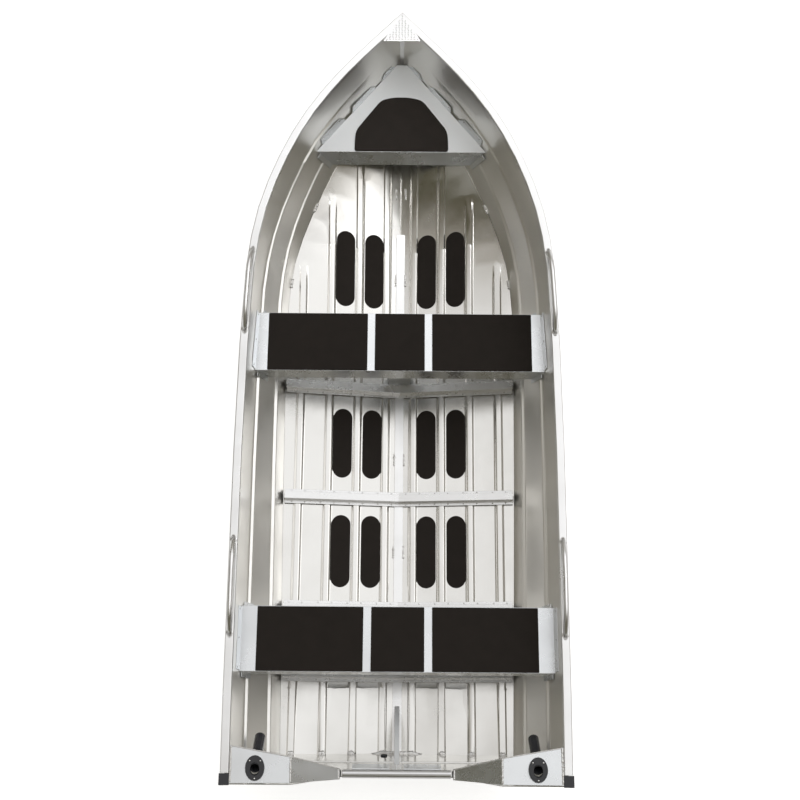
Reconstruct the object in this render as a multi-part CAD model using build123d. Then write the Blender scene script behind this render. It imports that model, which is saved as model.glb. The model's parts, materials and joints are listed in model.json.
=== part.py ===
"""Open aluminium dinghy, 3.7 m long: a pressed V hull with three seats, as an assembly.

Millimetres, +Z up, +Y towards the bow, +X to starboard.
The origin is below the middle of the boat, on the floor that the keel stands on.
Every number below is measured from the transom's top edge forward (y), from the
centre plane outward (x) and from the floor under the keel up (z). The last step moves
the pieces back by half the length.
"""
import math
import os

from build123d import *

# Sheet, gaps and the boat's ends
SHEET = 2.0              # hull sheet
PLATE = 3.0              # benches, transom, knees and brackets
FIT = 0.3                # gap that a weld or rivet closes
KEEL_BAR = (50.0, 18.0)  # flat keel bar: width, depth
STEM_BAR = (24.0, 20.0)  # stem bar: width, depth
KEEL_STRIP = (44.0, 4.0) # strip inside, over the keel: width, thickness
STRIP_END = 2900.0       # it ends under the bow seat
FOREFOOT = 2350.0        # the stem bar takes over from the keel bar here

# Hull stations from the stern forward. Each lies in a plane that runs athwartships
# through its chine point and its sheer point.
# sheer y, half beam, z | chine y, half width, z | keel z
STATIONS = (
    (6.0, 743.0, 560.0, 130.0, 552.0, 47.0, 18.0),
    (400.0, 747.0, 562.0, 462.0, 558.0, 52.0, 18.0),
    (900.0, 747.0, 572.0, 930.0, 567.0, 66.0, 18.0),
    (1500.0, 745.0, 595.0, 1500.0, 576.0, 88.0, 18.0),
    (2000.0, 736.0, 622.0, 1980.0, 580.0, 112.0, 18.0),
    (2380.0, 719.0, 646.0, 2340.0, 577.0, 138.0, 20.0),
    (2680.0, 670.0, 669.0, 2610.0, 546.0, 170.0, 30.0),
    (2950.0, 573.0, 692.0, 2850.0, 466.0, 212.0, 54.0),
    (3180.0, 448.0, 714.0, 3085.0, 354.0, 270.0, 95.0),
    (3380.0, 294.0, 735.0, 3290.0, 238.0, 330.0, 165.0),
    (3540.0, 139.0, 755.0, 3465.0, 128.0, 388.0, 262.0),
    (3660.0, 14.0, 774.0, 3618.0, 12.0, 428.0, 415.0),
)
TIP = 40.0               # the gunwales meet this far ahead of the last station
LENGTH = STATIONS[-1][0] + TIP
SPLIT_FROM = 5           # forward of this station each bay gets one more section

# Pressed steps along the side sheet: share of the width, share of the height, ledge
SIDE_STEPS = ((0.22, 0.26, 18.0), (0.71, 0.52, 16.0))
LEDGE_RISE = 5.0
BOW_FULL = (2650.0, 500.0, 0.17)   # the shares grow forward: from here, over this run, by this much

# Pressed swages along the bottom sheet: distance from the centre plane, and where each dies out
SWAGES = ((70.0, 3420.0), (212.0, 3200.0), (355.0, 2960.0), (500.0, 2560.0))
SWAGE = (42.0, 26.0, 9.0)   # width at the foot, width at the top, height
SWAGE_TRACE = 0.4           # least room for each of its folds beside the chine

# Gunwale extrusion
GUNWALE_IN = 20.0
GUNWALE_OUT = 20.0
GUNWALE_TOP = 10.0
GUNWALE_SKIRT = 24.0
GUNWALE_LIP = 8.0
GUNWALE_WALL = 4.0
GUNWALE_BEVEL = 4.0
GUNWALE_START = 50.0        # the corner cap covers what lies aft of it

# Chine rail on the outside
CHINE_RAIL = (20.0, 14.0)

# Benches: aft edge, depth fore and aft, height of the top, depth of the skirts
BENCHES = {"front": (1938.0, 298.0, 420.0, 112.0), "aft": (499.0, 298.0, 420.0, 112.0)}
BENCH_FLANGE = (48.0, 6.0)          # height of the upturned end, distance from the bench's edges
BENCH_GAP = 0.6                     # between a bench's end and the side sheet
BENCH_PADS = (485.0, 243.0, 36.0)   # side pad, centre pad, gap between
PAD_THICK = 6.0
PILLAR = (110.0, 40.0)              # support under a bench: width, depth
SKIRT_TAB = 22.0                    # width of the flange turned from a skirt's end

# Floor ribs: aft edge of the top of each, and the hat section
RIBS = {1: 510.0, 2: 824.0, 3: 1373.0, 4: 1940.0}
RIB_TOP = 36.0
RIB_FLANGE = 18.0
RIB_HEIGHT = 34.0
RIB_END = 10.0           # between a rib's end and the chine

# Floor pads: aft end and length of each row, and their places across
FLOOR_PADS = {"aft": (947.0, 358.0), "middle": (1497.0, 356.0), "front": (2407.0, 395.0)}
FLOOR_PAD_WIDTH = 93.0
FLOOR_PAD_PLACES = (138.0, 285.0)
FLOOR_PAD_THICK = 5.0
FLOOR_PAD_GAP = 0.5
FLOOR_PAD_STEPS = 5        # straight edges to a quarter of its round end

# Bow seat
BOW_SEAT = (3098.0, 3600.0, 462.0, 140.0)  # aft edge, apex, height, skirt
SEAT_TABS = ((0.08, 0.36), (0.45, 0.73), (0.82, 0.97))   # shares of the seat's edge
SEAT_TAB = (32.0, 14.0, 8.0)               # height, length of its sloping end, height there
BOW_PAD = ((0.0, 238.0), (62.0, 237.0), (100.0, 234.0), (128.0, 224.0), (274.0, 118.0), (290.0, 100.0),
           (300.0, 72.0), (307.0, 30.0))   # y from the seat's aft edge, half width
BOW_CAP = ((3549.0, 92.0), (3682.0, 12.0))  # y and half width at its aft edge and at its nose

# Transom
TRANSOM_LOW = (250.0, 400.0)      # half width and height of the motor section
TRANSOM_SHOULDER = 458.0          # where the top reaches full height again
BOARD = (245.0, 27.0)             # motor board: half width at the top, thickness
BOARD_FOOT = (530.0, 300.0)       # half width lower down, and the height where it narrows
BOARD_GROOVE = (212.0, 272.0, 5.0, 450.0)   # pressed along it: low, high, depth, half length
CAP = (24.0, 3.0)                 # rail over the motor section: height, overhang
MOTOR_PAD = (150.0, 212.0, 385.0, 5.0)      # outside: half width, low, high, thickness
CLAMP_PAD = (32.0, 200.0, 288.0, 385.0, 4.0)  # inside: near, far, low, high, thickness
CENTRE_KNEE = (380.0, 14.0, 22.0, 12.0)     # foot's y, its toe, flange width, drop below the top
DRAIN = (-59.0, 88.0)             # distance from the centre plane, height
DRAIN_FLANGE = 19.0

# Corner knees, seen from above: distance from centre, aft edge, front edge
KNEE = ((722.0, 8.0, 168.0), (458.0, 10.0, 122.0), (250.0, 32.0, 78.0))

# Rod holders
ROD_PLACE = (612.0, 72.0)
ROD_BORE = 20.0
ROD_WALL = 4.0
ROD_TILT = 38.0
ROD_LENGTH = 230.0
ROD_FLANGE = (54.0, 42.0, 8.0)    # half length, half width, thickness
ROD_FLOOR = 12.0                  # closed end of the tube

# Towing eye: radius, bore, thickness, length of its base; and its place up the stem
EYE = (20.0, 11.0, 10.0, 70.0)
EYE_PLACE = 0.35

# Carry handles on the gunwales: aft end and length
HANDLES = {"aft": (655.0, 412.0), "front": (2071.0, 386.0)}
HANDLE_RISE = 58.0                # middle of the tube above the gunwale
HANDLE_TUBE = 11.0                # radius
HANDLE_LEG = ((0.0, 0.0), (30.0, 0.48), (60.0, 0.84), (100.0, 1.0))   # distance from an end, share of the rise
HANDLE_PAD = (15.5, 3.0)          # radius and thickness of the pads it is welded on


def blend(table, k):
    """A row of the table at place k, on a smooth curve through its rows."""
    i = max(0, min(len(table) - 2, int(math.floor(k))))
    u = k - i
    p0, p1 = table[max(i - 1, 0)], table[i]
    p2, p3 = table[i + 1], table[min(i + 2, len(table) - 1)]
    row = []
    for a, b, c, d in zip(p0, p1, p2, p3):
        slope_b = (c - a) / 2
        slope_c = (d - b) / 2
        row.append(b * (2 * u**3 - 3 * u**2 + 1) + slope_b * (u**3 - 2 * u**2 + u)
                   + c * (3 * u**2 - 2 * u**3) + slope_c * (u**3 - u**2))
    return row


class Station:
    """One section of the hull, in its raked plane."""

    def __init__(self, k):
        last = len(STATIONS) - 1
        row = blend(STATIONS, min(k, last))
        self.ys, self.xs, self.zs, self.yc, self.xc, self.zc, self.zk = row
        if k > last:
            before = blend(STATIONS, last - 0.5)
            more = (k - last) / 0.5
            self.ys, self.xs, self.zs = (p + (p - q) * more for p, q in zip(row[:3], before[:3]))
        self.slope = (self.ys - self.yc) / (self.zs - self.zc)
        step = 0.05
        near, far = blend(STATIONS, max(k - step, 0)), blend(STATIONS, min(k + step, last))
        if k > last:
            near, far = blend(STATIONS, last - step), blend(STATIONS, last)
        self.flare = math.hypot(1.0, (far[1] - near[1]) / (far[0] - near[0]))
        self.edge = self.xc - (SHEET + FIT) * self.flare

    def point(self, x, z):
        return Vector(x, self.yc + (z - self.zc) * self.slope, z)

    def side(self):
        """Outside of the side sheet from chine to sheer, as (x, z)."""
        width, height = self.xs - self.xc, self.zs - self.zc
        shrink = max(0.0, min(1.0, width / 150.0))
        begin, run, more = BOW_FULL
        fuller = more * max(0.0, min(1.0, (self.yc - begin) / run))
        line = [(self.xc, self.zc)]
        for across, up, ledge in SIDE_STEPS:
            x, z = self.xc + width * (across + fuller), self.zc + height * up
            half = ledge * shrink / 2
            line += [(x - half, z - LEDGE_RISE / 2), (x + half, z + LEDGE_RISE / 2)]
        return line + [(self.xs, self.zs)]

    def bottom(self, swages):
        """Underside of the bottom sheet from keel to chine, as (x, z), with the folds of some swages."""
        rise = (self.zc - self.zk) / self.xc
        foot, top, height = SWAGE
        line = [(0.0, 0.0)]
        for i, (middle, end) in enumerate(swages):
            lift = height if self.yc < end else 0.0
            for k, (x, up) in enumerate(((-foot / 2, 0.0), (-top / 2, lift), (top / 2, lift), (foot / 2, 0.0))):
                room = SWAGE_TRACE * (4 * (len(swages) - i) - k)
                line.append((min(middle + x, self.edge - room), up))
        line.append((self.edge, 0.0))
        return [(x, self.zk + rise * x + up) for x, up in line]


def section_places(first=0.0):
    """Where the hull has sections: every station, and halfway between the forward ones."""
    last = len(STATIONS) - 1
    places = [float(i) for i in range(SPLIT_FROM)]
    places += [SPLIT_FROM + i / 2 for i in range(2 * (last - SPLIT_FROM) + 1)]
    return [first] + [p for p in places if p > first + 0.02]


SECTIONS = [Station(k) for k in section_places()]


def ruled(station_list, outline):
    """A solid ruled through one closed outline for each station."""
    wires = []
    for s in station_list:
        points = [s.point(x, z) for x, z in outline(s)]
        wires.append(Wire.make_polygon(points, close=True))
    return Solid.make_loft(wires, ruled=True)


def place_of(y, z):
    """The place along the hull whose plane passes through y, z."""
    low, high = 0.0, float(len(STATIONS) - 1)
    for _ in range(40):
        middle = (low + high) / 2
        if Station(middle).point(0, z).Y < y:
            low = middle
        else:
            high = middle
    return low


def along(line, z):
    """The x of a rising line of (x, z) points at height z."""
    for (xa, za), (xb, zb) in zip(line, line[1:]):
        if z <= zb:
            return xa + (xb - xa) * (z - za) / (zb - za)
    return line[-1][0]


def between(values, y):
    """The value at y on straight runs through rising (y, value) pairs."""
    for (ya, a), (yb, b) in zip(values, values[1:]):
        if y <= yb:
            return a + (b - a) * (y - ya) / (yb - ya)
    return values[-1][1]


def side_at(y, z):
    """Half width outside the side sheet at y, z, and the flare of its plan there."""
    places = [s.point(0, z).Y for s in SECTIONS]
    i = max(0, min(len(places) - 2, sum(p <= y for p in places) - 1))
    share = (y - places[i]) / (places[i + 1] - places[i])
    line = [(xa + (xb - xa) * share, za + (zb - za) * share)
            for (xa, za), (xb, zb) in zip(SECTIONS[i].side(), SECTIONS[i + 1].side())]
    flare = SECTIONS[i].flare + (SECTIONS[i + 1].flare - SECTIONS[i].flare) * share
    return along(line, z), flare


def inside(y, z):
    """Half width inside the side sheet at y, z."""
    x, flare = side_at(y, z)
    return x - SHEET * flare


def straight_edge(start, end, half):
    """The ends of the straight edge from start to end that clears the hull at every step between."""
    count = 24
    widths = [half(start + (end - start) * i / count) for i in range(count + 1)]
    chord = [widths[0] + (widths[-1] - widths[0]) * i / count for i in range(count + 1)]
    excess = max(c - w for c, w in zip(chord, widths)) + BENCH_GAP
    return widths[0] - excess, widths[-1] - excess


def sheet_top(s, x, up):
    """Top of the bottom sheet in one section, or up above it."""
    rise = (s.zc - s.zk) / s.xc
    return s.zk + rise * abs(x) + SHEET * math.hypot(1.0, rise) + up


def floor_z(x, y, up=0.0):
    """Height of the bottom sheet's top at x, y, or up above it."""
    line = [(s.point(0, sheet_top(s, x, up)).Y, sheet_top(s, x, up)) for s in SECTIONS]
    return between(line, y)


def sheer(y):
    """Half width and height of the sheet's top edge at y."""
    return (between([(s.ys, s.xs) for s in SECTIONS], y), between([(s.ys, s.zs) for s in SECTIONS], y))


def chine_half(y):
    return between([(s.yc, s.xc) for s in SECTIONS], y)


def prism_x(points_yz, x0, x1):
    """A plate between x0 and x1 whose outline is given as (y, z)."""
    face = Face(Wire.make_polygon([Vector(x0, y, z) for y, z in points_yz], close=True))
    return Solid.extrude(face, Vector(x1 - x0, 0, 0))


def prism_y(points_xz, y0, y1):
    """A plate between y0 and y1 whose outline is given as (x, z)."""
    face = Face(Wire.make_polygon([Vector(x, y0, z) for x, z in points_xz], close=True))
    return Solid.extrude(face, Vector(0, y1 - y0, 0))


def prism_z(points_xy, z0, z1):
    """A plate between z0 and z1 whose outline is given as (x, y)."""
    face = Face(Wire.make_polygon([Vector(x, y, z0) for x, y in points_xy], close=True))
    return Solid.extrude(face, Vector(0, 0, z1 - z0))


def prism_on(place, radius, thick, sides=12):
    """A many-sided disc on a plane."""
    ring = [place.from_local_coords(Vector(radius * math.cos(2 * math.pi * i / sides),
                                           radius * math.sin(2 * math.pi * i / sides), 0))
            for i in range(sides)]
    return Solid.extrude(Face(Wire.make_polygon(ring, close=True)), place.z_dir * thick)


def flat_sided(rings):
    """A solid with flat faces through rings of as many points each."""
    faces = [Face(Wire.make_polygon(ring, close=True)) for ring in (rings[0], rings[-1])]
    for near, far in zip(rings, rings[1:]):
        for i in range(len(near)):
            j = (i + 1) % len(near)
            faces.append(Face(Wire.make_polygon([near[i], near[j], far[j], far[i]], close=True)))
    return Solid(Shell(faces))


def common(shape, keep):
    """The part of a solid that lies inside another."""
    return shape.intersect(keep).solids()[0]


def block(x0, x1, y0, y1, z0, z1):
    return prism_z([(x0, y0), (x1, y0), (x1, y1), (x0, y1)], z0, z1)


def mirrored(shape):
    return shape.mirror(Plane.YZ)


def hull_side():
    def outline(s):
        outer = s.side()
        t = SHEET * s.flare
        outer[0] = (outer[0][0], outer[0][1] + FIT)
        return outer + [(x - t, z) for x, z in reversed(outer)]

    return ruled(SECTIONS, outline)


def hull_bottom():
    """The pressed bottom sheet. It is ruled in runs, and each run ends where a swage has died out."""
    pieces, first = [], 0
    for count in range(len(SWAGES), -1, -1):
        swages = SWAGES[:count]
        last = len(SECTIONS) - 1
        if swages:
            last = min([i for i, s in enumerate(SECTIONS) if s.yc >= swages[-1][1]] + [last])

        def outline(s):
            lower = s.bottom(swages)
            rise = (s.zc - s.zk) / s.xc
            t = SHEET * math.hypot(1.0, rise)
            lower[0] = (FIT, s.zk + rise * FIT)
            return lower + [(x, z + t) for x, z in reversed(lower)]

        if last > first:
            pieces.append(ruled(SECTIONS[first:last + 1], outline))
            first = last
    return pieces[0].fuse(*pieces[1:])


def chine_rail():
    """A rail that covers the joint of side and bottom from outside."""
    width, depth = CHINE_RAIL

    def outline(s):
        size = max(0.25, min(1.0, s.xc / 300.0))
        rise = (s.zc - s.zk) / s.xc
        x0 = s.xc - width * size
        gap = FIT * math.hypot(1.0, rise)
        out = s.xc + FIT * s.flare
        up = s.zc + depth * size * 0.6
        return [(x0, s.zk + rise * x0 - gap), (s.xc, s.zc - gap), (out, s.zc),
                (along(s.side(), up) + FIT * s.flare, up),
                (s.xc + width * 0.35 * size, s.zc - depth * 0.5 * size),
                (s.xc - width * 0.2 * size, s.zc - depth * size)]

    places = [p for p in section_places() if p <= len(STATIONS) - 1.5]
    return ruled([Station(k) for k in places], outline)


def gunwale():
    """The folded strip along the sheer, in lengths that butt under the handles' pads."""
    b = GUNWALE_BEVEL

    def outline(s):
        f = s.flare
        profile = ((-GUNWALE_IN, -GUNWALE_LIP), (-GUNWALE_IN, GUNWALE_TOP - b),
                   (b - GUNWALE_IN, GUNWALE_TOP), (GUNWALE_OUT - b, GUNWALE_TOP),
                   (GUNWALE_OUT, GUNWALE_TOP - b), (GUNWALE_OUT, -GUNWALE_SKIRT),
                   (GUNWALE_OUT - GUNWALE_WALL, -GUNWALE_SKIRT), (GUNWALE_OUT - GUNWALE_WALL, FIT),
                   (GUNWALE_WALL - GUNWALE_IN, FIT), (GUNWALE_WALL - GUNWALE_IN, -GUNWALE_LIP))
        return [(s.xs + x * f, s.zs + z) for x, z in profile]

    last = len(STATIONS) - 1
    first = place_of(GUNWALE_START + 3.0, STATIONS[0][2])
    ahead = 0.5 * (TIP + 8.0) / (Station(last).ys - Station(last - 0.5).ys)
    bar = ruled([Station(k) for k in section_places(first) + [last + ahead]], outline)
    widest, highest = LENGTH / 2, LENGTH
    joints = sorted(y for y0, length in HANDLES.values() for y in (y0, y0 + length))
    ends = [-TIP] + joints + [LENGTH + FIT]
    return Compound(children=[common(bar, block(FIT / 2, widest, a, b - FIT, 0.0, highest))
                              for a, b in zip(ends, ends[1:])])


def profile_line():
    """Keel and stem seen from the side: (y, z) of the bottom's lower edge, then the stem."""
    line = []
    for k in section_places():
        s = Station(k)
        p = s.point(0, s.zk)
        line.append((p.Y, p.Z))
    end = Station(len(STATIONS) - 1)
    top = end.point(0, end.zs)
    line.append((top.Y, top.Z))
    return line


def offset(line, distance):
    """The line moved to its right, mitred at its corners."""
    moved = []
    for i, (y, z) in enumerate(line):
        a, b = line[max(i - 1, 0)], line[min(i + 1, len(line) - 1)]
        before = ((y - a[0]), (z - a[1])) if i else ((b[0] - y), (b[1] - z))
        after = ((b[0] - y), (b[1] - z)) if i < len(line) - 1 else before
        n1 = (before[1] / math.hypot(*before), -before[0] / math.hypot(*before))
        n2 = (after[1] / math.hypot(*after), -after[0] / math.hypot(*after))
        share = 1.0 + n1[0] * n2[0] + n1[1] * n2[1]
        moved.append((y + distance * (n1[0] + n2[0]) / share, z + distance * (n1[1] + n2[1]) / share))
    return moved


def keel_bar(line):
    """The flat bar that the boat stands on, aft of the forefoot."""
    width, depth = KEEL_BAR
    run = [p for p in line if p[0] < FOREFOOT]
    outer = offset(run, depth)
    inner = offset(run, FIT)
    return prism_x(inner + outer[::-1], -width / 2, width / 2)


def stem_bar(line):
    width, depth = STEM_BAR
    start = [i for i, p in enumerate(line) if p[0] < FOREFOOT][-1]
    run = line[start:]
    outer, inner = offset(run, depth), offset(run, FIT)
    inner[0] = (inner[0][0] + FIT, inner[0][1])
    outer[0] = (outer[0][0] + FIT, outer[0][1])
    return prism_x(inner + outer[::-1], -width / 2, width / 2)


def transom_plane(x, z, aft):
    """A point on the transom, aft of the hull's end by a distance."""
    s = Station(0)
    return Vector(x, s.point(0, z).Y - aft * math.hypot(1.0, s.slope), z)


def transom_solid(outline, aft0, aft1):
    """A plate parallel to the transom, between two distances aft of the hull's end."""
    face = Face(Wire.make_polygon([transom_plane(x, z, aft0) for x, z in outline], close=True))
    back = transom_plane(0, 0, aft1) - transom_plane(0, 0, aft0)
    return Solid.extrude(face, back)


def transom_outline():
    s = Station(0)
    low, height = TRANSOM_LOW
    half = [(0.0, s.zk)] + [(s.xc, s.zc)] + s.side()[1:]
    half[-1] = (half[-1][0], half[-1][1] - FIT)
    half += [(TRANSOM_SHOULDER, s.zs - FIT), (low, height)]
    return half + [(-x, z) for x, z in reversed(half) if x > 0]


def transom_board():
    """The inner panel: wide at the foot, narrow at the motor section, with a pressed groove."""
    half, thick = BOARD
    wide, shoulder = BOARD_FOOT
    s = Station(0)
    foot = SWAGE[2] + 3.0
    right = [(wide, sheet_top(s, wide, foot)), (wide, shoulder), (half, TRANSOM_LOW[1] - FIT)]
    outline = [(0.0, sheet_top(s, 0.0, foot))] + right + [(-x, z) for x, z in reversed(right)]
    low, high, depth, length = BOARD_GROOVE
    groove = [(-length, low), (length, low), (length, high), (-length, high)]
    panel = transom_solid(outline, -FIT, -FIT - thick)
    return panel.cut(transom_solid(groove, depth - FIT - thick, -FIT - thick - 1.0))


def motor_pad():
    """The doubler outside, where the motor's bracket bears."""
    half, low, high, thick = MOTOR_PAD
    outline = [(-half, low), (half, low), (half, high), (-half, high)]
    return transom_solid(outline, 2 * FIT + PLATE, 2 * FIT + PLATE + thick)


def clamp_pads():
    """The doublers inside, where the clamp screws bear."""
    near, far, low, high, thick = CLAMP_PAD
    outline = [(near, low), (far, low), (far, high), (near, high)]
    pad = transom_solid(outline, -2 * FIT - BOARD[1], -2 * FIT - BOARD[1] - thick)
    return Compound(children=[pad, mirrored(pad)])


def transom_cap():
    """A rounded rail over the top of the motor section."""
    top = transom_plane(0, TRANSOM_LOW[1], 0.0)
    middle_y = top.Y + (BOARD[1] - PLATE) / 2
    height, overhang = CAP
    half = (BOARD[1] + PLATE) / 2 + overhang
    z0 = TRANSOM_LOW[1] + FIT
    arc = []
    for i in range(9):
        angle = math.pi * i / 8
        arc.append((middle_y + half * math.cos(angle), z0 + height * 0.35 + height * 0.65 * math.sin(angle)))
    return prism_x([(middle_y + half, z0)] + arc + [(middle_y - half, z0)], -BOARD[0] + 4, BOARD[0] - 4)


def transom_knee():
    """The centre bracket from the motor board down to the floor, with a flange along its edge."""
    foot_y, toe, flange, drop = CENTRE_KNEE
    aft = -2 * FIT - BOARD[1]
    head = transom_plane(0, TRANSOM_LOW[1] - drop, aft)
    foot_z = floor_z(KEEL_STRIP[0] / 2, foot_y, FIT) + KEEL_STRIP[1] + FIT
    low = transom_plane(0, foot_z, aft)
    edge = [(head.Y, head.Z), (head.Y + flange, head.Z), (foot_y, foot_z + toe)]
    web = prism_x(edge + [(foot_y, foot_z), (low.Y, foot_z)], -PLATE / 2, PLATE / 2)
    strip = [(y, z - PLATE) for y, z in edge[1:]] + edge[:0:-1]
    return web.fuse(prism_x(strip, -flange / 2, flange / 2))


def keel_strip():
    """The flat strip inside along the joint of the two bottom sheets."""
    width, thick = KEEL_STRIP

    def outline(s):
        z = sheet_top(s, width / 2, FIT)
        return [(-width / 2, z), (width / 2, z), (width / 2, z + thick), (-width / 2, z + thick)]

    return ruled([s for s in SECTIONS if s.point(0, s.zk).Y < STRIP_END], outline)


def corner_knee():
    """The folded corner plate: level outboard, sloping down to the motor section."""
    s = Station(0)
    top = s.zs + GUNWALE_TOP
    (xo, _, _), (xm, _, _), (xi, _, _) = KNEE
    xo = s.xs - GUNWALE_IN - 2 * FIT
    drop = TRANSOM_LOW[1] + 16.0
    upper = [(xo, top), (xm, top), (xi, drop)]
    lower = [(x, z - PLATE) for x, z in upper]
    sheet = prism_y(upper + lower[::-1], 0.0, 2 * KNEE[0][2])
    plan = [(xo, KNEE[0][1]), (xo, KNEE[0][2]), (xm, KNEE[1][2]), (xi, KNEE[2][2]),
            (xi, KNEE[2][1]), (xm, KNEE[1][1])]
    keep = prism_z(plan, 0.0, 2 * top)
    return common(sheet, keep).cut(rod_drill(ROD_BORE + ROD_WALL + 1.0))


def rod_frame():
    """Mouth of the rod holder and the way its bore leaves it."""
    z = STATIONS[0][2] + GUNWALE_TOP
    tilt = math.radians(ROD_TILT)
    way = Vector(0, -math.sin(tilt), math.cos(tilt))
    return Plane(origin=(ROD_PLACE[0], ROD_PLACE[1], z), z_dir=way, x_dir=(1, 0, 0))


def rod_drill(radius):
    return rod_frame().location * Location((0, 0, -ROD_LENGTH)) * Solid.make_cylinder(radius, 2 * ROD_LENGTH)


def rod_holder():
    mouth = rod_frame()
    way = mouth.z_dir
    foot = Plane(origin=mouth.origin - way * ROD_LENGTH, x_dir=mouth.x_dir, z_dir=way)
    tube = prism_on(foot, ROD_BORE + ROD_WALL, ROD_LENGTH, 16)
    half_y, half_x, thick = ROD_FLANGE
    sides = 20
    rim = [(ROD_PLACE[0] + half_x * math.cos(2 * math.pi * i / sides),
            ROD_PLACE[1] + half_y * math.sin(2 * math.pi * i / sides)) for i in range(sides)]
    z = mouth.origin.Z + FIT
    body = tube.fuse(prism_z(rim, z, z + thick))
    return body.cut(mouth.location * Location((0, 0, ROD_FLOOR - ROD_LENGTH)) * Solid.make_cylinder(
        ROD_BORE, ROD_LENGTH * 2))


def corner_cap():
    """The plastic cap on the gunwale's aft end."""
    s = Station(0)
    out = s.xs + GUNWALE_OUT + 4.0
    shell = block(s.xs - GUNWALE_IN, out, 0.0, GUNWALE_START - FIT, s.zs - GUNWALE_SKIRT, s.zs + GUNWALE_TOP + 2)
    return shell.cut(block(0.0, s.xs + 6.0, -1.0, GUNWALE_START, 0.0, s.zs + FIT))


def skirt_tabs(y, way, top, low):
    """Flanges turned from both ends of a skirt at y, flat against the side sheets."""
    wires = []
    for place in ((y, y + PLATE + SKIRT_TAB) if way > 0 else (y - SKIRT_TAB, y + PLATE)):
        high, foot = straight_edge(top, low, lambda z: inside(place, z))
        share = SKIRT_TAB / (top - low)
        upper = high + (foot - high) * share
        corners = [(upper, top - SKIRT_TAB), (foot, low), (foot - PLATE, low), (upper - PLATE, top - SKIRT_TAB)]
        wires.append(Wire.make_polygon([Vector(x, place, z) for x, z in corners], close=True))
    tab = Solid.make_loft(wires, ruled=True)
    return [tab, mirrored(tab)]


def bench(name):
    """A folded bench: a level top, two skirts that follow the sides, and upturned ends."""
    y0, depth, top, skirt = BENCHES[name]
    y1 = y0 + depth
    aft, front = straight_edge(y0, y1, lambda y: inside(y, top - PLATE))
    plan = [(aft, y0), (front, y1), (-front, y1), (-aft, y0)]
    pieces = []
    for y, widest in ((y0, aft), (y1 - PLATE, front)):
        high, low = straight_edge(top - PLATE, top - skirt,
                                  lambda z: min(inside(y, z), inside(y + PLATE, z)))
        high = min(high, widest)
        pieces.append(prism_y([(high, top - PLATE), (low, top - skirt), (-low, top - skirt),
                               (-high, top - PLATE)], y, y + PLATE))
        pieces += skirt_tabs(y, -1 if y == y0 else 1, top - PLATE, top - skirt)
    tall, margin = BENCH_FLANGE
    wires = []
    for y in (y0 + margin, y1 - margin):
        edge = aft + (front - aft) * (y - y0) / depth
        lean = inside(y, top + tall) - inside(y, top - PLATE)
        corners = [(edge, top - PLATE), (edge + lean, top + tall),
                   (edge + lean - PLATE, top + tall), (edge - PLATE, top - PLATE)]
        wires.append(Wire.make_polygon([Vector(x, y, z) for x, z in corners], close=True))
    flange = Solid.make_loft(wires, ruled=True)
    return prism_z(plan, top - PLATE, top).fuse(*pieces, flange, mirrored(flange))


def bench_pads(name):
    y0, depth, top, _ = BENCHES[name]
    side, centre, gap = BENCH_PADS
    z = top + FIT
    pads = []
    for x in (-(centre + gap * 2 + side) / 2, 0.0, (centre + gap * 2 + side) / 2):
        half = centre / 2 if x == 0.0 else side / 2
        pads.append(block(x - half, x + half, y0 + 3, y0 + depth - 3, z, z + PAD_THICK))
    return Compound(children=pads)


def bench_pillar(name):
    """The support that carries the middle of a bench on the floor, just ahead of the rib."""
    y0, depth, top, _ = BENCHES[name]
    width, thick = PILLAR
    rib_end = min(RIBS.values(), key=lambda r: abs(r - y0)) + RIB_TOP + RIB_FLANGE
    y = max(rib_end, y0 + PLATE) + FIT
    z0 = floor_z(width / 2, y + thick, SWAGE[2] + FIT)
    return block(-width / 2, width / 2, y, y + thick, z0, top - PLATE - FIT)


def rib(y0):
    """A hat-section rib across the floor, bent to the V of the bottom."""
    y_end = y0 + RIB_TOP + RIB_FLANGE
    half = chine_half(y0 - RIB_FLANGE) - RIB_END
    foot = SWAGE[2] + FIT

    def arm(ya, yb, low, high):
        points = [(x, floor_z(x, y_end, foot) + h) for h, xs in
                  ((low, (-half, 0.0, half)), (high, (half, 0.0, -half))) for x in xs]
        return prism_y(points, ya, yb)

    aft = arm(y0 - RIB_FLANGE, y0 + PLATE, 0.0, PLATE)
    front = arm(y0 + RIB_TOP - PLATE, y_end, 0.0, PLATE)
    web_a = arm(y0, y0 + PLATE, 0.0, RIB_HEIGHT)
    web_b = arm(y0 + RIB_TOP - PLATE, y0 + RIB_TOP, 0.0, RIB_HEIGHT)
    top = arm(y0, y0 + RIB_TOP, RIB_HEIGHT - PLATE, RIB_HEIGHT)
    return aft.fuse(front, web_a, web_b, top)


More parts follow.
